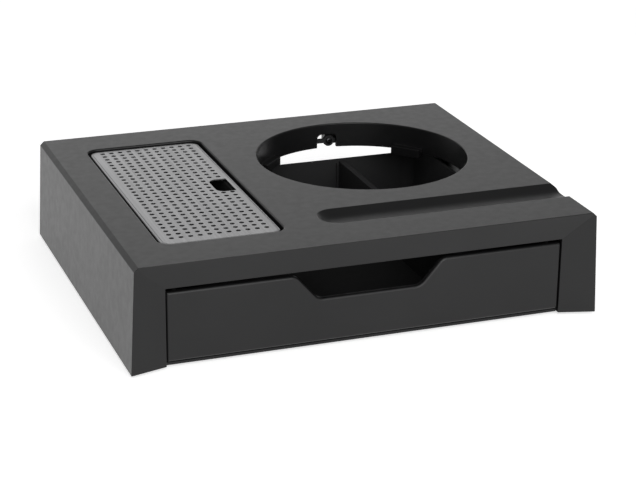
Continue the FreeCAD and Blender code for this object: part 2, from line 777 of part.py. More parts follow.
def boxGuides(body):
    # upright ribs on the front and rear walls that hold the divider's ends
    guides = planSketch(body, "guides", "boxInside - boxFloor / 2")
    ends = (("faceBack + boxWall / 2", "faceBack + boxWall + dividerGuide"),
            ("boxRear - boxWall - dividerGuide", "boxRear - boxWall / 2"))
    for side in (-1, 1):
        beside = "dividerX + %d * (dividerThick / 2 + dividerGap)" % side
        beyond = "dividerX + %d * (dividerThick / 2 + dividerGap + dividerGuide)" % side
        for low, high in ends:
            addOutline(guides, rectangle(*(beside, beyond)[::side], low, high))
    addPad(body, guides, "boxRim - boxInside + boxFloor / 2 - dividerDrop * 2")


def makeDrawerTray():
    body = addBody("drawer_tray")
    boxShell(body)
    boxSides(body)
    boxRails(body)
    boxGuides(body)
    holes = frontSketch(body, "boxHoles", "faceBack - overrun")
    for x, z in frontScrewPlaces():
        addSmallRound(holes, x, z, "pilotRadius")
    addPocket(body, holes, "boxWall + overrun * 2")
    return body


def makeDrawerDivider():
    body = addBody("drawer_divider")
    plan = planSketch(body, "upright", "boxInside")
    addOutline(plan, rectangle("dividerX - dividerThick / 2", "dividerX + dividerThick / 2",
                               "faceBack + boxWall + dividerGap", "boxRear - boxWall - dividerGap"))
    addPad(body, plan, "boxRim - boxInside - dividerDrop")
    return body


# Runners: a channel round each rail, on a foot that stands on the base panel

def makeRunner(hand, side):
    body = addBody("runner_" + hand)
    wall = "(boxHalf + runnerWallGap)"
    section = frontSketch(body, hand + "Channel", "runnerFront")
    points = [("runnerFootSide", "panelTop"), ("runnerFootSide", "panelTop + runnerFootHeight"),
              ("runnerOuter", "panelTop + runnerFootHeight"), ("runnerOuter", "slotHigh + runnerLipThick"),
              (wall, "slotHigh + runnerLipThick"), (wall, "slotHigh"), ("runnerInner", "slotHigh"),
              ("runnerInner", "slotLow"), (wall, "slotLow"), (wall, "slotLow - runnerLipThick"),
              ("runnerInner", "slotLow - runnerLipThick"), ("runnerInner", "panelTop")]
    addOutline(section, [("%d * %s" % (side, x), z) for x, z in points])
    addPad(body, section, "runnerStopFace + runnerStop - runnerFront", reverse=True)
    stop = frontSketch(body, hand + "Stop", "runnerStopFace")
    addOutline(stop, rectangle("%d * %s" % (side, wall), "%d * runnerInner" % side,
                               "slotLow - runnerLipThick / 2", "slotHigh + runnerLipThick / 2"))
    addPad(body, stop, "runnerStop", reverse=True)
    holes = planSketch(body, hand + "Holes", "panelTop")
    for x, y in runnerScrewPlaces():
        if number(x) * side > 0:
            addSmallRound(holes, x, y, "pilotRadius")
    addPocket(body, holes, "runnerScrewLength - panelThick + screwPlay", reverse=True)
    return body


# Cord clamp: a keeper bar with a round boss, screwed to the post behind the skirt

def makeCordClamp():
    bar = doc.addObject("Part::Box", "clampBar")
    bind(bar, "Length", "clampBarLength")
    bind(bar, "Width", "clampBarThick")
    bind(bar, "Height", "clampBarHeight")
    bind(bar, "Placement.Base.x", "notchX - clampBarLength / 2")
    bind(bar, "Placement.Base.y", "clampFront")
    bind(bar, "Placement.Base.z", "clampLevel - clampBarHeight / 2")
    boss = addRound("Cylinder", "clampBoss", "clampX", "clampFront", "clampLevel", "clampBarThick",
                    "clampBossDiameter / 2", backward)
    hole = addRound("Prism", "clampHole", "clampX", "clampFront - overrun", "clampLevel",
                    "clampBarThick + overrun * 2", "pilotRadius", backward)
    clamp = doc.addObject("Part::Cut", "cord_clamp")
    clamp.Label = "cord_clamp"
    clamp.Base = fuse("clampBlank", [bar, boss])
    clamp.Tool = hole
    screw = addScrew("cord_clamp_screw", "clampX", "clampFront", "clampLevel", "clampScrewLength", backward)
    screw.Label = "cord_clamp_screw"
    return [clamp, screw]


# Drip tray: a pan that hangs by its rim from the recess's shelf

def makeDripTray():
    body = addBody("drip_tray")
    rim = planSketch(body, "panRim", "shelfTop")
    addOutline(rim, centred("wellX", "wellY", "wellWidth - panPlay * 2", "wellLength - panPlay * 2",
                            "wellCorner - panPlay"))
    addPad(body, rim, "panRimThick")
    pan = planSketch(body, "panOutside", "shelfTop")
    addOutline(pan, centred("wellX", "wellY", "panWidth", "panLength", "panCorner"))
    addPad(body, pan, "panDepth", reverse=True)
    inside = planSketch(body, "panInside", "rimTop")
    addOutline(inside, centred("wellX", "wellY", "panWidth - panWall * 2", "panLength - panWall * 2",
                               "panCorner - panWall"))
    addPocket(body, inside, "panRimThick + panDepth - panWall")
    return body


# Drip grille: pressed sheet with turned-down edges, a finger hole and a grid of round holes

def makeDripGrille():
    body = addBody("grillePressing")
    blank = planSketch(body, "grilleBlank", "rimTop")
    addOutline(blank, centred("wellX", "wellY", "grilleWidth", "grilleLength", "grilleCorner"))
    solid = addPad(body, blank, "grilleHeight")
    easeEdges(body, "grilleEdge", "Chamfer", solid, lambda e: atHeight(e, "grilleTop"), "grilleEdgeBevel")
    under = planSketch(body, "grilleUnder", "rimTop")
    addOutline(under, centred("wellX", "wellY", "grilleWidth - grilleSheet * 2",
                              "grilleLength - grilleSheet * 2", "grilleCorner - grilleSheet"))
    addPocket(body, under, "grilleHeight - grilleSheet", reverse=True)
    right = "(wellX + grilleWidth / 2 - fingerEdge)"
    left = "(wellX + grilleWidth / 2 - fingerEdge - fingerWidth)"
    low = "(wellY + fingerShiftY - fingerLength / 2)"
    high = "(wellY + fingerShiftY + fingerLength / 2)"
    finger = planSketch(body, "fingerHole", "grilleTop")
    addOutline(finger, [(left, low, "fingerCorner"), (right, low), (right, high), (left, high, "fingerCorner")])
    addPocket(body, finger, "grilleSheet + overrun")
    punches = doc.addObject("Part::Feature", "perforations")
    punches.Shape = Part.makeCompound(perforations(left, right, low, high))
    grille = doc.addObject("Part::Cut", "drip_grille")
    grille.Label = "drip_grille"
    grille.Base = body
    grille.Tool = punches
    return grille


def gridPlaces(middle, span, pitch):
    # as many places a pitch apart as fit in the span, shared out about the middle
    count = math.floor(number(span) / number(pitch)) + 1
    return [number(middle) + (i - (count - 1) / 2) * number(pitch) for i in range(count)]


def perforations(left, right, low, high):
    # each hole's corners stand far enough out to keep the open area of the round hole
    radius = number("perforationDiameter / 2")
    margin = radius + number("fingerMargin")
    sides = int(number("perforationSides"))
    step = 2 * math.pi / sides
    corner = radius * math.sqrt(step / math.sin(step))
    base = number("grilleTop - grilleSheet * 2")
    deep = FreeCAD.Vector(0, 0, number("grilleSheet * 3"))
    turns = [step * i for i in range(sides + 1)]
    holes = []
    for x in gridPlaces("wellX + perforationShiftX", "grilleWidth - perforationBorderX", "perforationPitchX"):
        for y in gridPlaces("wellY + perforationShiftY", "grilleLength - perforationBorderY", "perforationPitchY"):
            besideX = number(left) - margin < x < number(right) + margin
            besideY = number(low) - margin < y < number(high) + margin
            if besideX and besideY:
                continue
            rim = [FreeCAD.Vector(x + corner * math.cos(t), y + corner * math.sin(t), base) for t in turns]
            holes.append(Part.Face(Part.makePolygon(rim)).extrude(deep))
    return holes


# Build, check and write every piece

pieces = [makeHousing(), makeBasePanel(), makeDrawerFront(), makeDrawerTray(), makeDrawerDivider(),
          makeRunner("left", -1), makeRunner("right", 1), makeDripTray(), makeDripGrille()]
pieces += makeScrews() + makeFeet() + makeCordClamp()
doc.recompute()

for thing in doc.Objects:
    if "Invalid" in thing.State or "Error" in thing.State:
        raise RuntimeError("%s failed: %s" % (thing.Label, thing.State))
for piece in pieces:
    if piece.Shape.isNull() or not piece.Shape.isValid():
        raise RuntimeError(piece.Label + " has no valid shape")

os.makedirs("parts", exist_ok=True)
for piece in pieces:
    piece.Shape.exportStep("parts/%s.step" % piece.Label)
    print("%-20s %d solid(s), %.1f cm3" % (piece.Label, len(piece.Shape.Solids), piece.Shape.Volume / 1000))
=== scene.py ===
import math

import bmesh
import bpy
from mathutils import Matrix, Vector


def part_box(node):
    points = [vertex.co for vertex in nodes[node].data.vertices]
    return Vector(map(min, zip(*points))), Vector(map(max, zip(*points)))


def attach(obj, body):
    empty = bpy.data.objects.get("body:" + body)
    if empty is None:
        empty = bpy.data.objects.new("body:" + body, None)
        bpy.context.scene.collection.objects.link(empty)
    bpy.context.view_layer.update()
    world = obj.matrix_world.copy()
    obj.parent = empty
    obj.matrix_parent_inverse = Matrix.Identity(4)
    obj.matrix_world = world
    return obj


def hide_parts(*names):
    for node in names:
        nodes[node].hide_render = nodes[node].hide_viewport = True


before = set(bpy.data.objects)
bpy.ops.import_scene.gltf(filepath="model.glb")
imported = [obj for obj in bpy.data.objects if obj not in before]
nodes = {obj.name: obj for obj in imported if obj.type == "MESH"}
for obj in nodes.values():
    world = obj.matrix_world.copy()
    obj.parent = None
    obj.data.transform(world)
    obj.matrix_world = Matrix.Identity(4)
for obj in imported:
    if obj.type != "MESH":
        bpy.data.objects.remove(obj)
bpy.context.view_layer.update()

# Finish of a hospitality tray: moulded black housing and drawer, perforated grille, screws and feet.
# Metres, +Z up, front towards -Y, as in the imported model.

mm = 0.001
mergeGap = 0.001 * mm            # corners nearer than this are one corner
print("frame: %d nodes" % len(nodes))


# Node trees

def feed(tree, socket, value):
    if isinstance(value, bpy.types.NodeSocket):
        tree.links.new(value, socket)
    else:
        socket.default_value = value


def put(tree, kind, values={}, **settings):
    node = tree.nodes.new(kind)
    for name, setting in settings.items():
        setattr(node, name, setting)
    for name, value in values.items():
        feed(tree, node.inputs[name], value)
    return node


def reckon(tree, operation, first, second=0.0):
    return put(tree, "ShaderNodeMath", {0: first, 1: second}, operation=operation).outputs[0]


# Materials

def newMaterial(name):
    material = bpy.data.materials.new(name)
    material.use_nodes = True
    tree = material.node_tree
    place = put(tree, "ShaderNodeTexCoord").outputs["Object"]
    return material, tree, tree.nodes["Principled BSDF"], place


noiseSpan = (0.3, 0.7)           # nearly all of the noise lies between these


def speckle(tree, place, scale, low, high, detail=2.0):
    noise = put(tree, "ShaderNodeTexNoise", {"Vector": place, "Scale": scale, "Detail": detail})
    spread = put(tree, "ShaderNodeMapRange", {"Value": noise.outputs["Fac"],
                                              "From Min": noiseSpan[0], "From Max": noiseSpan[1],
                                              "To Min": low, "To Max": high})
    return spread.outputs["Result"]


def grainBump(tree, shader, height, strength, depth):
    bump = put(tree, "ShaderNodeBump", {"Height": height, "Strength": strength, "Distance": depth})
    feed(tree, shader.inputs["Normal"], bump.outputs["Normal"])


mouldedBlack = {
    "dark": (0.005, 0.005, 0.0052, 1.0),
    "pale": (0.007, 0.007, 0.0073, 1.0),
    "shine": 0.32,               # specular level
    "cloudScale": 14.0,          # faint flow marks of the moulding, about 70 mm across
    "gloss": (0.33, 0.38),       # roughness between its smoothest and roughest patches
    "glossScale": 160.0,
    "grainScale": 2100.0,        # spark-eroded grain, about half a millimetre
    "grainDetail": 3.0,
    "grainStrength": 0.16,
    "grainDepth": 0.06 * mm,
}

innerBlack = dict(
    mouldedBlack,
    dark=(0.024, 0.024, 0.0245, 1.0),
    pale=(0.028, 0.028, 0.0285, 1.0),
    shine=0.02,
    gloss=(0.72, 0.82),
    grainStrength=0.10,
)


def makeMouldedPlastic(name, look):
    material, tree, shader, place = newMaterial(name)
    cloud = speckle(tree, place, look["cloudScale"], 0.0, 1.0)
    shade = put(tree, "ShaderNodeMix", {0: cloud, 6: look["dark"], 7: look["pale"]}, data_type="RGBA")
    feed(tree, shader.inputs["Base Color"], shade.outputs[2])
    shader.inputs["Specular IOR Level"].default_value = look["shine"]
    feed(tree, shader.inputs["Roughness"], speckle(tree, place, look["glossScale"], *look["gloss"]))
    grain = put(tree, "ShaderNodeTexNoise", {"Vector": place, "Scale": look["grainScale"],
                                             "Detail": look["grainDetail"]})
    grainBump(tree, shader, grain.outputs["Fac"], look["grainStrength"], look["grainDepth"])
    return material


brushedSteel = {
    "tone": (0.36, 0.36, 0.365, 1.0),
    "streaks": (900.0, 14.0, 900.0),   # polishing lines run along the grille
    "gloss": (0.30, 0.42),
    "streakDetail": 4.0,
    "streakStrength": 0.10,
    "streakDepth": 0.02 * mm,
}

screwSteel = dict(
    brushedSteel,
    tone=(0.05, 0.05, 0.052, 1.0),
    streaks=(700.0, 700.0, 700.0),
    gloss=(0.25, 0.40),
)


def makeSteel(name, look):
    material, tree, shader, place = newMaterial(name)
    shader.inputs["Base Color"].default_value = look["tone"]
    shader.inputs["Metallic"].default_value = 1.0
    mapping = put(tree, "ShaderNodeMapping", {"Vector": place, "Scale": look["streaks"]})
    stretched = mapping.outputs["Vector"]
    detail = look["streakDetail"]
    feed(tree, shader.inputs["Roughness"], speckle(tree, stretched, 1.0, *look["gloss"], detail=detail))
    streak = put(tree, "ShaderNodeTexNoise", {"Vector": stretched, "Scale": 1.0, "Detail": detail})
    grainBump(tree, shader, streak.outputs["Fac"], look["streakStrength"], look["streakDepth"])
    return material


footRubber = {
    "tone": (0.016, 0.016, 0.016, 1.0),
    "gloss": (0.70, 0.85),
    "scale": 900.0,              # pores of about a millimetre
    "strength": 0.25,
    "depth": 0.05 * mm,
}


def makeRubber(name, look):
    material, tree, shader, place = newMaterial(name)
    shader.inputs["Base Color"].default_value = look["tone"]
    feed(tree, shader.inputs["Roughness"], speckle(tree, place, look["scale"], *look["gloss"]))
    pores = put(tree, "ShaderNodeTexNoise", {"Vector": place, "Scale": look["scale"], "Detail": 2.0})
    grainBump(tree, shader, pores.outputs["Fac"], look["strength"], look["depth"])
    return material


finishes = {
    "housing_plastic": makeMouldedPlastic("mouldedBlack", mouldedBlack),
    "inner_plastic": makeMouldedPlastic("innerBlack", innerBlack),
    "grille_steel": makeSteel("brushedSteel", brushedSteel),
    "screw_steel": makeSteel("screwSteel", screwSteel),
    "foot_rubber": makeRubber("footRubber", footRubber),
}
print("materials: %d" % len(finishes))


# Pieces

def dress(piece, body, slot, *replaced):
    # the finished piece gets its slot's material, moves with its body and stands for CAD nodes
    piece.data.materials.clear()
    piece.data.materials.append(finishes[slot])
    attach(piece, body)
    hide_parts(*replaced)


def addPiece(name, mesh):
    piece = bpy.data.objects.new(name, mesh)
    bpy.context.scene.collection.objects.link(piece)
    return piece


def applyModifiers(piece):
    # the piece becomes a plain mesh of what its modifiers make
    bpy.context.view_layer.update()
    graph = bpy.context.evaluated_depsgraph_get()
    mesh = bpy.data.meshes.new_from_object(piece.evaluated_get(graph), depsgraph=graph)
    piece.modifiers.clear()
    piece.data = mesh


creases = {"grille": 40.0, "screws": 45.0, "feet": 50.0}   # degrees, sharper edges stay crisp


def smoothBelow(mesh, angle):
    mesh.polygons.foreach_set("use_smooth", [True] * len(mesh.polygons))
    mesh.set_sharp_from_angle(angle=math.radians(angle))


def mergedCopy(nodeName):
    mesh = nodes[nodeName].data.copy()
    mesh.attributes.remove(mesh.attributes["custom_normal"])
    shape = bmesh.new()
    shape.from_mesh(mesh)
    bpy.data.meshes.remove(mesh)
    bmesh.ops.remove_doubles(shape, verts=shape.verts, dist=mergeGap)
    return shape


# Moulded pieces, whose edges are eased as a mould leaves them

easing = {
    "angle": 22.0,               # an edge sharper than this is eased
    "curveAngle": 18.5,          # below this, facets belong to one curved face
    "steps": 3,
}

eased = {
    # body, slot and width of the easing
    "housing": ("base", "housing_plastic", 0.4 * mm),
    "drawer_front": ("drawer", "housing_plastic", 0.8 * mm),
    "drawer_tray": ("drawer", "inner_plastic", 0.5 * mm),
    "drawer_divider": ("drawer", "inner_plastic", 0.4 * mm),
    "drip_tray": ("drip_pan", "inner_plastic", 0.3 * mm),
    "cord_clamp": ("base", "inner_plastic", 0.3 * mm),
}

grip = {
    "halfWidth": 62.0 * mm,      # no other corner of the box's front wall is nearer to the middle
    "depth": 19.5 * mm,          # of the cut-out, below the top of the face plate
    "reach": 2.75 * mm,          # behind the face plate, just past the box's front wall
    "slack": 0.1 * mm,
    "widen": 7.6 * mm,
    "lower": 3.0 * mm,
}


def openGrip(shape):
    # the cut-out in the box's front wall draws back behind the one in the face plate
    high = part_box("drawer_front")[1]
    lowest = high.z - grip["depth"] - grip["slack"]
    for vertex in shape.verts:
        x, y, z = vertex.co
        if abs(x) < grip["halfWidth"] and y < high.y + grip["reach"] and z > lowest:
            share = (high.z - z) / grip["depth"]
            vertex.co = (x + math.copysign(grip["widen"], x), y, z - grip["lower"] * share)


facePlate = {
    "rim": 1.2 * mm,             # width of the chamfer that easing turns into a round
    "slack": 0.01 * mm,
}


def widenRim(shape):
    # the chamfer round the face plate's front gets wider, and its corners are returned
    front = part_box("drawer_front")[0].y
    faceRing = {vertex for vertex in shape.verts if vertex.co.y < front + facePlate["slack"]}
    moves = {}
    for vertex in faceRing:
        beside = {edge.other_vert(vertex) for edge in vertex.link_edges} - faceRing
        outer = min(beside, key=lambda other: (other.co - vertex.co).length)
        inward = vertex.co - outer.co
        share = facePlate["rim"] / -inward.y
        moves[vertex] = (outer.co.x + share * inward.x, front, outer.co.z + share * inward.z)
        moves[outer] = (outer.co.x, front + facePlate["rim"], outer.co.z)
    for vertex, place in moves.items():
        vertex.co = place
    return set(moves)


def easedCopy(nodeName, width):
    shape = mergedCopy(nodeName)
    rim = set(shape.verts)
    if nodeName == "drawer_tray":
        openGrip(shape)
    if nodeName == "drawer_front":
        rim = widenRim(shape)
    weights = shape.edges.layers.float.new("bevel_weight_edge")
    for face in shape.faces:
        face.smooth = True
    for edge in shape.edges:
        angle = math.degrees(edge.calc_face_angle())
        isEased = angle > easing["angle"] and not rim.isdisjoint(edge.verts)
        edge[weights] = float(isEased)
        edge.smooth = isEased or angle < easing["curveAngle"]
    mesh = bpy.data.meshes.new(nodeName + "Eased")
    shape.to_mesh(mesh)
    shape.free()
    piece = addPiece(nodeName + "Eased", mesh)
    bevel = piece.modifiers.new("ease", "BEVEL")
    bevel.width = width
    bevel.segments = easing["steps"]
    bevel.limit_method = "WEIGHT"
    bevel.use_clamp_overlap = False
    bevel.loop_slide = False
    bevel.harden_normals = True
    applyModifiers(piece)
    return piece


for nodeName, (body, slot, width) in eased.items():
    piece = easedCopy(nodeName, width)
    dress(piece, body, slot, nodeName)
    print("eased %s: %d faces" % (nodeName, len(piece.data.polygons)))

plain = {
    "base_panel": "inner_plastic",
    "runner_left": "inner_plastic",
    "runner_right": "inner_plastic",
}
for nodeName, slot in plain.items():
    nodes[nodeName].data.materials.clear()
    nodes[nodeName].data.materials.append(finishes[slot])


# Geometry Nodes pieces

socketKinds = {int: "NodeSocketInt", float: "NodeSocketFloat", tuple: "NodeSocketVector"}


def newTree(name, inputs):
    tree = bpy.data.node_groups.new(name, "GeometryNodeTree")
    tree.interface.new_socket("Geometry", in_out="OUTPUT", socket_type="NodeSocketGeometry")
    tree.interface.new_socket("Geometry", in_out="INPUT", socket_type="NodeSocketGeometry")
    tree.interface.new_socket("Finish", in_out="INPUT", socket_type="NodeSocketMaterial")
    for title, value in inputs.items():
        tree.interface.new_socket(title, in_out="INPUT", socket_type=socketKinds[type(value)])
    return tree, put(tree, "NodeGroupInput").outputs


def closeTree(tree, shape, finish):
    whole = put(tree, "GeometryNodeRealizeInstances", {"Geometry": shape}).outputs["Geometry"]
    coated = put(tree, "GeometryNodeSetMaterial", {"Geometry": whole, "Material": finish})
    put(tree, "NodeGroupOutput", {"Geometry": coated.outputs["Geometry"]})


def join(tree, *shapes):
    node = put(tree, "GeometryNodeJoinGeometry")
    for shape in shapes:
        tree.links.new(shape, node.inputs["Geometry"])
    return node.outputs["Geometry"]


def grow(name, mesh, tree, inputs, finish):
    # runs a tree on a mesh, with its inputs set before the first evaluation
    piece = addPiece(name, mesh)
    modifier = piece.modifiers.new(tree.name, "NODES")
    modifier.node_group = tree
    values = dict(inputs, Finish=finish)
    for socket in tree.interface.items_tree:
        if socket.in_out == "INPUT" and socket.name in values:
            modifier[socket.identifier] = values[socket.name]
    applyModifiers(piece)
    return piece


# Drip grille: pressed sheet with a rounded rim, a finger hole and a grid of round holes

grilleLow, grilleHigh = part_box("drip_grille")
grilleSize = grilleHigh - grilleLow

grille = {
    "Width": grilleSize.x,
    "Length": grilleSize.y,
    "Height": grilleSize.z,
    "Corner": 8.0 * mm,
    "Sheet": 0.8 * mm,
    "Rim": 3.6 * mm,             # width of the bar under the sheet's edge
    "Hole": 3.8 * mm,
    "Pitch X": 7.14 * mm,
    "Pitch Y": 7.38 * mm,
    "Columns": 11,
    "Rows": 28,
    "Shift X": 0.675 * mm,
    "Shift Y": 2.9 * mm,
    "Finger width": 14.6 * mm,
    "Finger length": 28.4 * mm,
    "Finger X": 32.975 * mm,     # from the grille's middle to the finger hole's
    "Finger Y": 1.0 * mm,
    "Finger corner": 6.5 * mm,
    "Finger margin": 0.05 * mm,
    "Place": ((grilleLow.x + grilleHigh.x) / 2, (grilleLow.y + grilleHigh.y) / 2, grilleHigh.z),
}
holeCorners = 16
rimSteps = 5
rimRound = 0.41                  # share of the rim's width, so that its rounds stay apart


def roundedRectangle(tree, width, length, radius, steps=8):
    outline = put(tree, "GeometryNodeCurvePrimitiveQuadrilateral", {"Width": width, "Height": length})
    rounded = put(tree, "GeometryNodeFilletCurve", {"Curve": outline.outputs["Curve"], "Count": steps,
                                                    "Radius": radius}, mode="POLY")
    return rounded.outputs["Curve"]


def shifted(tree, shape, x=0.0, y=0.0, z=0.0):
    move = put(tree, "ShaderNodeCombineXYZ", {"X": x, "Y": y, "Z": z}).outputs["Vector"]
    return put(tree, "GeometryNodeTransform", {"Geometry": shape, "Translation": move}).outputs["Geometry"]


def alongAxis(tree, axis):
    place = put(tree, "GeometryNodeInputPosition").outputs["Position"]
    return put(tree, "ShaderNodeSeparateXYZ", {"Vector": place}).outputs[axis]


def isLess(tree, first, second):
    compared = put(tree, "FunctionNodeCompare", {"A": first, "B": second}, operation="LESS_THAN")
    return compared.outputs["Result"]


def grilleHoles(tree, size):
    # grid of circles, without those that the finger hole would touch
    wide = reckon(tree, "MULTIPLY", reckon(tree, "SUBTRACT", size["Columns"], 1.0), size["Pitch X"])
    long = reckon(tree, "MULTIPLY", reckon(tree, "SUBTRACT", size["Rows"], 1.0), size["Pitch Y"])
    grid = put(tree, "GeometryNodeMeshGrid", {"Size X": wide, "Size Y": long,
                                              "Vertices X": size["Columns"], "Vertices Y": size["Rows"]})
    spots = shifted(tree, grid.outputs["Mesh"], size["Shift X"], size["Shift Y"])
    near = []
    for axis, span, middle in (("X", "Finger width", "Finger X"), ("Y", "Finger length", "Finger Y")):
        away = reckon(tree, "ABSOLUTE", reckon(tree, "SUBTRACT", alongAxis(tree, axis), size[middle]))
        both = reckon(tree, "ADD", size[span], size["Hole"])
        reach = reckon(tree, "ADD", reckon(tree, "MULTIPLY", both, 0.5), size["Finger margin"])
        near.append(isLess(tree, away, reach))
    touched = put(tree, "FunctionNodeBooleanMath", {0: near[0], 1: near[1]}, operation="AND")
    kept = put(tree, "GeometryNodeDeleteGeometry", {"Geometry": spots, "Selection": touched.outputs[0]})
    radius = reckon(tree, "MULTIPLY", size["Hole"], 0.5)
    ring = put(tree, "GeometryNodeCurvePrimitiveCircle", {"Resolution": holeCorners, "Radius": radius})
    rings = put(tree, "GeometryNodeInstanceOnPoints", {"Points": kept.outputs["Geometry"],
                                                       "Instance": ring.outputs["Curve"]})
    whole = put(tree, "GeometryNodeRealizeInstances", {"Geometry": rings.outputs["Instances"]})
    return whole.outputs["Geometry"]


def fingerHole(tree, size):
    leftSide = isLess(tree, alongAxis(tree, "X"), 0.0)
    radius = put(tree, "GeometryNodeSwitch", {"Switch": leftSide, "False": 0.0,
                                              "True": size["Finger corner"]}, input_type="FLOAT")
    outline = roundedRectangle(tree, size["Finger width"], size["Finger length"], radius.outputs["Output"])
    return shifted(tree, outline, size["Finger X"], size["Finger Y"])


def rimPath(tree, size):
    # outline that runs along the middle of the rim
    half = reckon(tree, "MULTIPLY", size["Rim"], 0.5)
    return roundedRectangle(tree, reckon(tree, "SUBTRACT", size["Width"], size["Rim"]),
                            reckon(tree, "SUBTRACT", size["Length"], size["Rim"]),
                            reckon(tree, "SUBTRACT", size["Corner"], half))


def grilleSheet(tree, size):
    curves = join(tree, rimPath(tree, size), fingerHole(tree, size), grilleHoles(tree, size))
    face = put(tree, "GeometryNodeFillCurve", {"Curve": curves}, mode="TRIANGLES").outputs["Mesh"]
    under = shifted(tree, face, z=reckon(tree, "MULTIPLY", size["Sheet"], -1.0))
    thick = put(tree, "GeometryNodeExtrudeMesh", {"Mesh": under, "Offset Scale": size["Sheet"],
                                                  "Individual": False}).outputs["Mesh"]
    bottom = put(tree, "GeometryNodeFlipFaces", {"Mesh": under}).outputs["Mesh"]
    return put(tree, "GeometryNodeMergeByDistance", {"Geometry": join(tree, thick, bottom),
                                                     "Distance": mergeGap}).outputs["Geometry"]


def grilleRim(tree, size):
    # bar with rounded corners, swept round the sheet's edge
    bar = put(tree, "GeometryNodeCurvePrimitiveQuadrilateral", {"Width": size["Rim"],
                                                                "Height": size["Height"]})
    radius = reckon(tree, "MULTIPLY", size["Rim"], rimRound)
    rounded = put(tree, "GeometryNodeFilletCurve", {"Curve": bar.outputs["Curve"], "Count": rimSteps,
                                                    "Radius": radius}, mode="POLY")
    swept = put(tree, "GeometryNodeCurveToMesh", {"Curve": rimPath(tree, size),
                                                  "Profile Curve": rounded.outputs["Curve"]})
    return shifted(tree, swept.outputs["Mesh"], z=reckon(tree, "MULTIPLY", size["Height"], -0.5))


def makeGrille():
    tree, size = newTree("perforatedGrille", grille)
    whole = join(tree, grilleSheet(tree, size), grilleRim(tree, size))
    placed = put(tree, "GeometryNodeTransform", {"Geometry": whole, "Translation": size["Place"]})
    closeTree(tree, placed.outputs["Geometry"], size["Finish"])
    seed = bpy.data.meshes.new("grilleSeed")
    piece = grow("perforatedGrille", seed, tree, grille, finishes["grille_steel"])
    smoothBelow(piece.data, creases["grille"])
    dress(piece, "grille", "grille_steel", "drip_grille")
    return piece


grillePiece = makeGrille()
print("grille: %d faces" % len(grillePiece.data.polygons))


# Screws and feet: turned shapes set on points that carry their direction

capSeam = 0.01 * mm              # closes a cap's seam, its pole and its underside


def turnedCap(tree, radius, height, squareness, around=29, rows=8):
    # rounded cap over the XY plane, whose profile is a superellipse, with a flat underside
    # around is odd, because only then do the corners of the underside meet the cap's
    sheet = put(tree, "GeometryNodeMeshGrid", {"Size X": 2 * math.pi, "Size Y": math.pi / 2,
                                               "Vertices X": around, "Vertices Y": rows}).outputs["Mesh"]
    turn = alongAxis(tree, "X")
    rise = reckon(tree, "ADD", alongAxis(tree, "Y"), math.pi / 4)
    power = reckon(tree, "DIVIDE", 2.0, squareness)
    reach = reckon(tree, "POWER", reckon(tree, "COSINE", rise), power)
    lift = reckon(tree, "POWER", reckon(tree, "SINE", rise), power)
    out = reckon(tree, "MULTIPLY", reach, radius)
    spot = put(tree, "ShaderNodeCombineXYZ", {
        "X": reckon(tree, "MULTIPLY", out, reckon(tree, "COSINE", turn)),
        "Y": reckon(tree, "MULTIPLY", out, reckon(tree, "SINE", turn)),
        "Z": reckon(tree, "MULTIPLY", lift, height),
    })
    dome = put(tree, "GeometryNodeSetPosition", {"Geometry": sheet, "Position": spot.outputs["Vector"]})
    disc = put(tree, "GeometryNodeMeshCircle", {"Vertices": around - 1, "Radius": radius},
               fill_type="NGON")
    turned = put(tree, "ShaderNodeCombineXYZ", {"X": math.pi}).outputs["Vector"]
    facing = put(tree, "GeometryNodeTransform", {"Geometry": disc.outputs["Mesh"], "Rotation": turned})
    both = join(tree, dome.outputs["Geometry"], facing.outputs["Geometry"])
    closed = put(tree, "GeometryNodeMergeByDistance", {"Geometry": both, "Distance": capSeam})
    return closed.outputs["Geometry"]


def setOnPoints(tree, points, shape, scale=None):
    facing = put(tree, "GeometryNodeInputNamedAttribute", {"Name": "facing"}, data_type="FLOAT_VECTOR")
    aimed = {"Vector": facing.outputs["Attribute"]}
    turned = put(tree, "FunctionNodeAlignRotationToVector", aimed, axis="Z")
    values = {"Points": points, "Instance": shape, "Rotation": turned.outputs["Rotation"]}
    if scale is not None:
        values["Scale"] = scale
    return put(tree, "GeometryNodeInstanceOnPoints", values).outputs["Instances"]


def pointMesh(name, places):
    # each place is a point, the direction it faces and a length
    mesh = bpy.data.meshes.new(name)
    mesh.from_pydata([place for place, facing, length in places], [], [])
    mesh.attributes.new("facing", "FLOAT_VECTOR", "POINT")
    mesh.attributes.new("shankLength", "FLOAT", "POINT")
    for i, (place, facing, length) in enumerate(places):
        mesh.attributes["facing"].data[i].vector = facing
        mesh.attributes["shankLength"].data[i].value = length
    return mesh


screw = {
    "Head diameter": 5.6 * mm,
    "Head height": 1.5 * mm,
    "Squareness": 3.2,           # of the head's rounded profile
    "Shank diameter": 3.0 * mm,
    "Cross length": 3.2 * mm,
    "Cross width": 0.7 * mm,
    "Cross depth": 0.9 * mm,
}
shankCorners = 20

downwards = Vector((0, 0, -1))
forwards = Vector((0, -1, 0))
backwards = Vector((0, 1, 0))
screwFacings = {
    # body, and which way the heads of each node's screws face
    "baseScrews": ("base", {
        "base_screws": downwards,
        "runner_screws": downwards,
        "cord_clamp_screw": forwards,
    }),
    "drawerScrews": ("drawer", {"drawer_front_screws": backwards}),
}


def islands(nodeName):
    # corners of each separate solid in a node
    shape = mergedCopy(nodeName)
    waiting = dict.fromkeys(shape.verts)
    found = []
    while waiting:
        stack = [waiting.popitem()[0]]
        corners = []
        while stack:
            vertex = stack.pop()
            corners.append(vertex.co.copy())
            for edge in vertex.link_edges:
                beside = edge.other_vert(vertex)
                if beside in waiting:
                    del waiting[beside]
                    stack.append(beside)
        found.append(corners)
    shape.free()
    return found


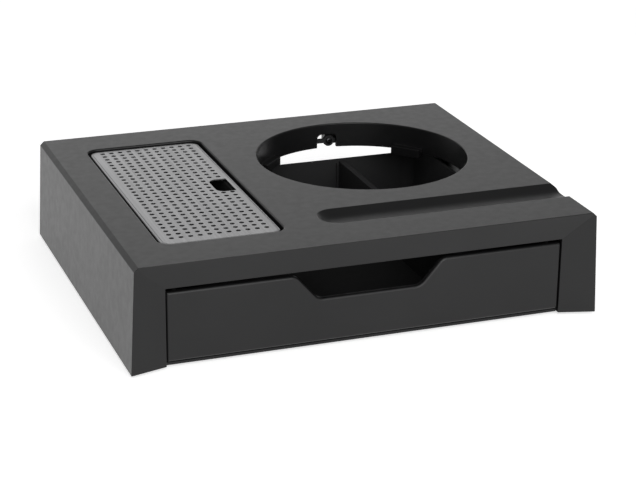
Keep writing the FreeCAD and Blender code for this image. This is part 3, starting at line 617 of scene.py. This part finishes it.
def screwPlaces(nodeName, facing):
    # where each head bears, from the solid's extent along its own axis
    places = []
    for corners in islands(nodeName):
        middle = sum(corners, Vector()) / len(corners)
        reaches = [(corner - middle).dot(facing) for corner in corners]
        bearing = middle + facing * (max(reaches) - screw["Head height"])
        places.append((bearing, facing, max(reaches) - min(reaches) - screw["Head height"]))
    return places


def screwTree():
    tree, size = newTree("crossHeadScrews", screw)
    headRadius = reckon(tree, "MULTIPLY", size["Head diameter"], 0.5)
    head = turnedCap(tree, headRadius, size["Head height"], size["Squareness"])
    slots = []
    for x, y in (("Cross length", "Cross width"), ("Cross width", "Cross length")):
        tall = reckon(tree, "MULTIPLY", size["Cross depth"], 2.0)
        spans = put(tree, "ShaderNodeCombineXYZ", {"X": size[x], "Y": size[y], "Z": tall})
        bar = put(tree, "GeometryNodeMeshCube", {"Size": spans.outputs["Vector"]}).outputs["Mesh"]
        slots.append(shifted(tree, bar, z=size["Head height"]))
    driven = put(tree, "GeometryNodeMeshBoolean", {"Mesh 1": head}, operation="DIFFERENCE", solver="EXACT")
    for slot in slots:
        tree.links.new(slot, driven.inputs["Mesh 2"])
    shankRadius = reckon(tree, "MULTIPLY", size["Shank diameter"], 0.5)
    rod = put(tree, "GeometryNodeMeshCylinder", {"Vertices": shankCorners, "Depth": 1.0,
                                                 "Radius": shankRadius})
    hung = shifted(tree, rod.outputs["Mesh"], z=-0.5)
    length = put(tree, "GeometryNodeInputNamedAttribute", {"Name": "shankLength"}, data_type="FLOAT")
    stretch = put(tree, "ShaderNodeCombineXYZ", {"X": 1.0, "Y": 1.0, "Z": length.outputs["Attribute"]})
    heads = setOnPoints(tree, size["Geometry"], driven.outputs["Mesh"])
    shanks = setOnPoints(tree, size["Geometry"], hung, stretch.outputs["Vector"])
    closeTree(tree, join(tree, heads, shanks), size["Finish"])
    return tree


crossHead = screwTree()
for name, (body, facings) in screwFacings.items():
    places = []
    for nodeName, facing in facings.items():
        places.extend(screwPlaces(nodeName, facing))
    piece = grow(name, pointMesh(name, places), crossHead, screw, finishes["screw_steel"])
    smoothBelow(piece.data, creases["screws"])
    dress(piece, body, "screw_steel", *facings)
    print("%s: %d screws, %d faces" % (name, len(places), len(piece.data.polygons)))

feetNodes = ["foot_front_left", "foot_front_right", "foot_rear_left", "foot_rear_right"]
footLow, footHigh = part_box(feetNodes[0])

foot = {
    "Diameter": footHigh.x - footLow.x,
    "Height": footHigh.z - footLow.z,
    "Squareness": 7.0,
}


def makeFeet():
    tree, size = newTree("rubberFeet", foot)
    radius = reckon(tree, "MULTIPLY", size["Diameter"], 0.5)
    pad = turnedCap(tree, radius, size["Height"], size["Squareness"], around=41, rows=12)
    closeTree(tree, setOnPoints(tree, size["Geometry"], pad), size["Finish"])
    places = []
    for nodeName in feetNodes:
        low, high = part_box(nodeName)
        places.append((Vector(((low.x + high.x) / 2, (low.y + high.y) / 2, high.z)), downwards, 0.0))
    piece = grow("rubberFeet", pointMesh("rubberFeet", places), tree, foot, finishes["foot_rubber"])
    smoothBelow(piece.data, creases["feet"])
    dress(piece, "base", "foot_rubber", *feetNodes)
    return piece


print("feet: %d faces" % len(makeFeet().data.polygons))


# Stage, light and camera

stage = {
    "floorSpan": 12.0,
    "floorTone": (0.80, 0.80, 0.80, 1.0),
    "floorGlow": 0.76,           # the floor is a light table
    "floorScale": 40.0,
    "floorGloss": (0.75, 0.85),
    "roomPale": (1.08, 1.08, 1.08, 1.0),
    "roomDim": (0.28, 0.28, 0.28, 1.0),
    "paleBelow": 0.42,           # height of the pale walls, as the sine of their angle
    "dimAbove": 0.85,
    "leanLeft": 1.1,             # the pale walls sink away on both sides of the backdrop
    "leanRight": 0.60,
}

softboxes = {
    # place, where it points, width, power
    "keyBox": ((-0.25, -2.6, 1.55), (0.0, 0.0, 0.0), 3.0, 70.0),
}

photoView = {
    "place": (-477.16 * mm, -1320.17 * mm, 564.16 * mm),
    "azimuth": -20.3018,
    "elevation": 20.8633,
    "roll": 0.6312,
    "lens": 108.21,
    "sensor": 36.0,
}


def makeFloor():
    half = stage["floorSpan"] / 2
    mesh = bpy.data.meshes.new("floor")
    corners = [(-half, -half, 0), (half, -half, 0), (half, half, 0), (-half, half, 0)]
    mesh.from_pydata(corners, [], [(0, 1, 2, 3)])
    floor = addPiece("floor", mesh)
    material, tree, shader, place = newMaterial("paleFloor")
    shader.inputs["Base Color"].default_value = stage["floorTone"]
    shader.inputs["Emission Color"].default_value = stage["floorTone"]
    shader.inputs["Emission Strength"].default_value = stage["floorGlow"]
    feed(tree, shader.inputs["Roughness"], speckle(tree, place, stage["floorScale"], *stage["floorGloss"]))
    mesh.materials.append(material)


def makeLight():
    world = bpy.data.worlds.new("room")
    world.use_nodes = True
    tree = world.node_tree
    aim = put(tree, "ShaderNodeTexCoord").outputs["Generated"]
    parts = put(tree, "ShaderNodeSeparateXYZ", {"Vector": aim}).outputs
    leftFall = reckon(tree, "MULTIPLY", parts["X"], -stage["leanLeft"])
    rightFall = reckon(tree, "MULTIPLY", parts["X"], stage["leanRight"])
    height = reckon(tree, "ADD", parts["Z"], reckon(tree, "MAXIMUM", leftFall, rightFall))
    span = {"Value": height, "From Min": stage["paleBelow"], "From Max": stage["dimAbove"]}
    climb = put(tree, "ShaderNodeMapRange", span, interpolation_type="SMOOTHSTEP").outputs["Result"]
    wall = put(tree, "ShaderNodeMix", {0: climb, 6: stage["roomPale"], 7: stage["roomDim"]},
               data_type="RGBA")
    feed(tree, tree.nodes["Background"].inputs["Color"], wall.outputs[2])
    bpy.context.scene.world = world
    for name, (place, target, width, power) in softboxes.items():
        lamp = bpy.data.lights.new(name, "AREA")
        lamp.size = width
        lamp.energy = power
        softbox = bpy.data.objects.new(name, lamp)
        softbox.location = place
        softbox.rotation_euler = (Vector(target) - Vector(place)).to_track_quat("-Z", "Y").to_euler()
        bpy.context.scene.collection.objects.link(softbox)
    bpy.context.scene.view_settings.view_transform = "Standard"


def makeCamera():
    lens = bpy.data.cameras.new("photoView")
    lens.sensor_fit = "HORIZONTAL"
    lens.sensor_width = photoView["sensor"]
    lens.lens = photoView["lens"]
    camera = bpy.data.objects.new("photoView", lens)
    swing = Matrix.Rotation(math.radians(photoView["azimuth"]), 4, "Z")
    tilt = Matrix.Rotation(math.radians(90 - photoView["elevation"]), 4, "X")
    roll = Matrix.Rotation(math.radians(photoView["roll"]), 4, "Z")
    camera.matrix_world = Matrix.Translation(photoView["place"]) @ swing @ tilt @ roll
    bpy.context.scene.collection.objects.link(camera)
    bpy.context.scene.camera = camera


makeFloor()
makeLight()
makeCamera()
print("stage, light and camera are set")
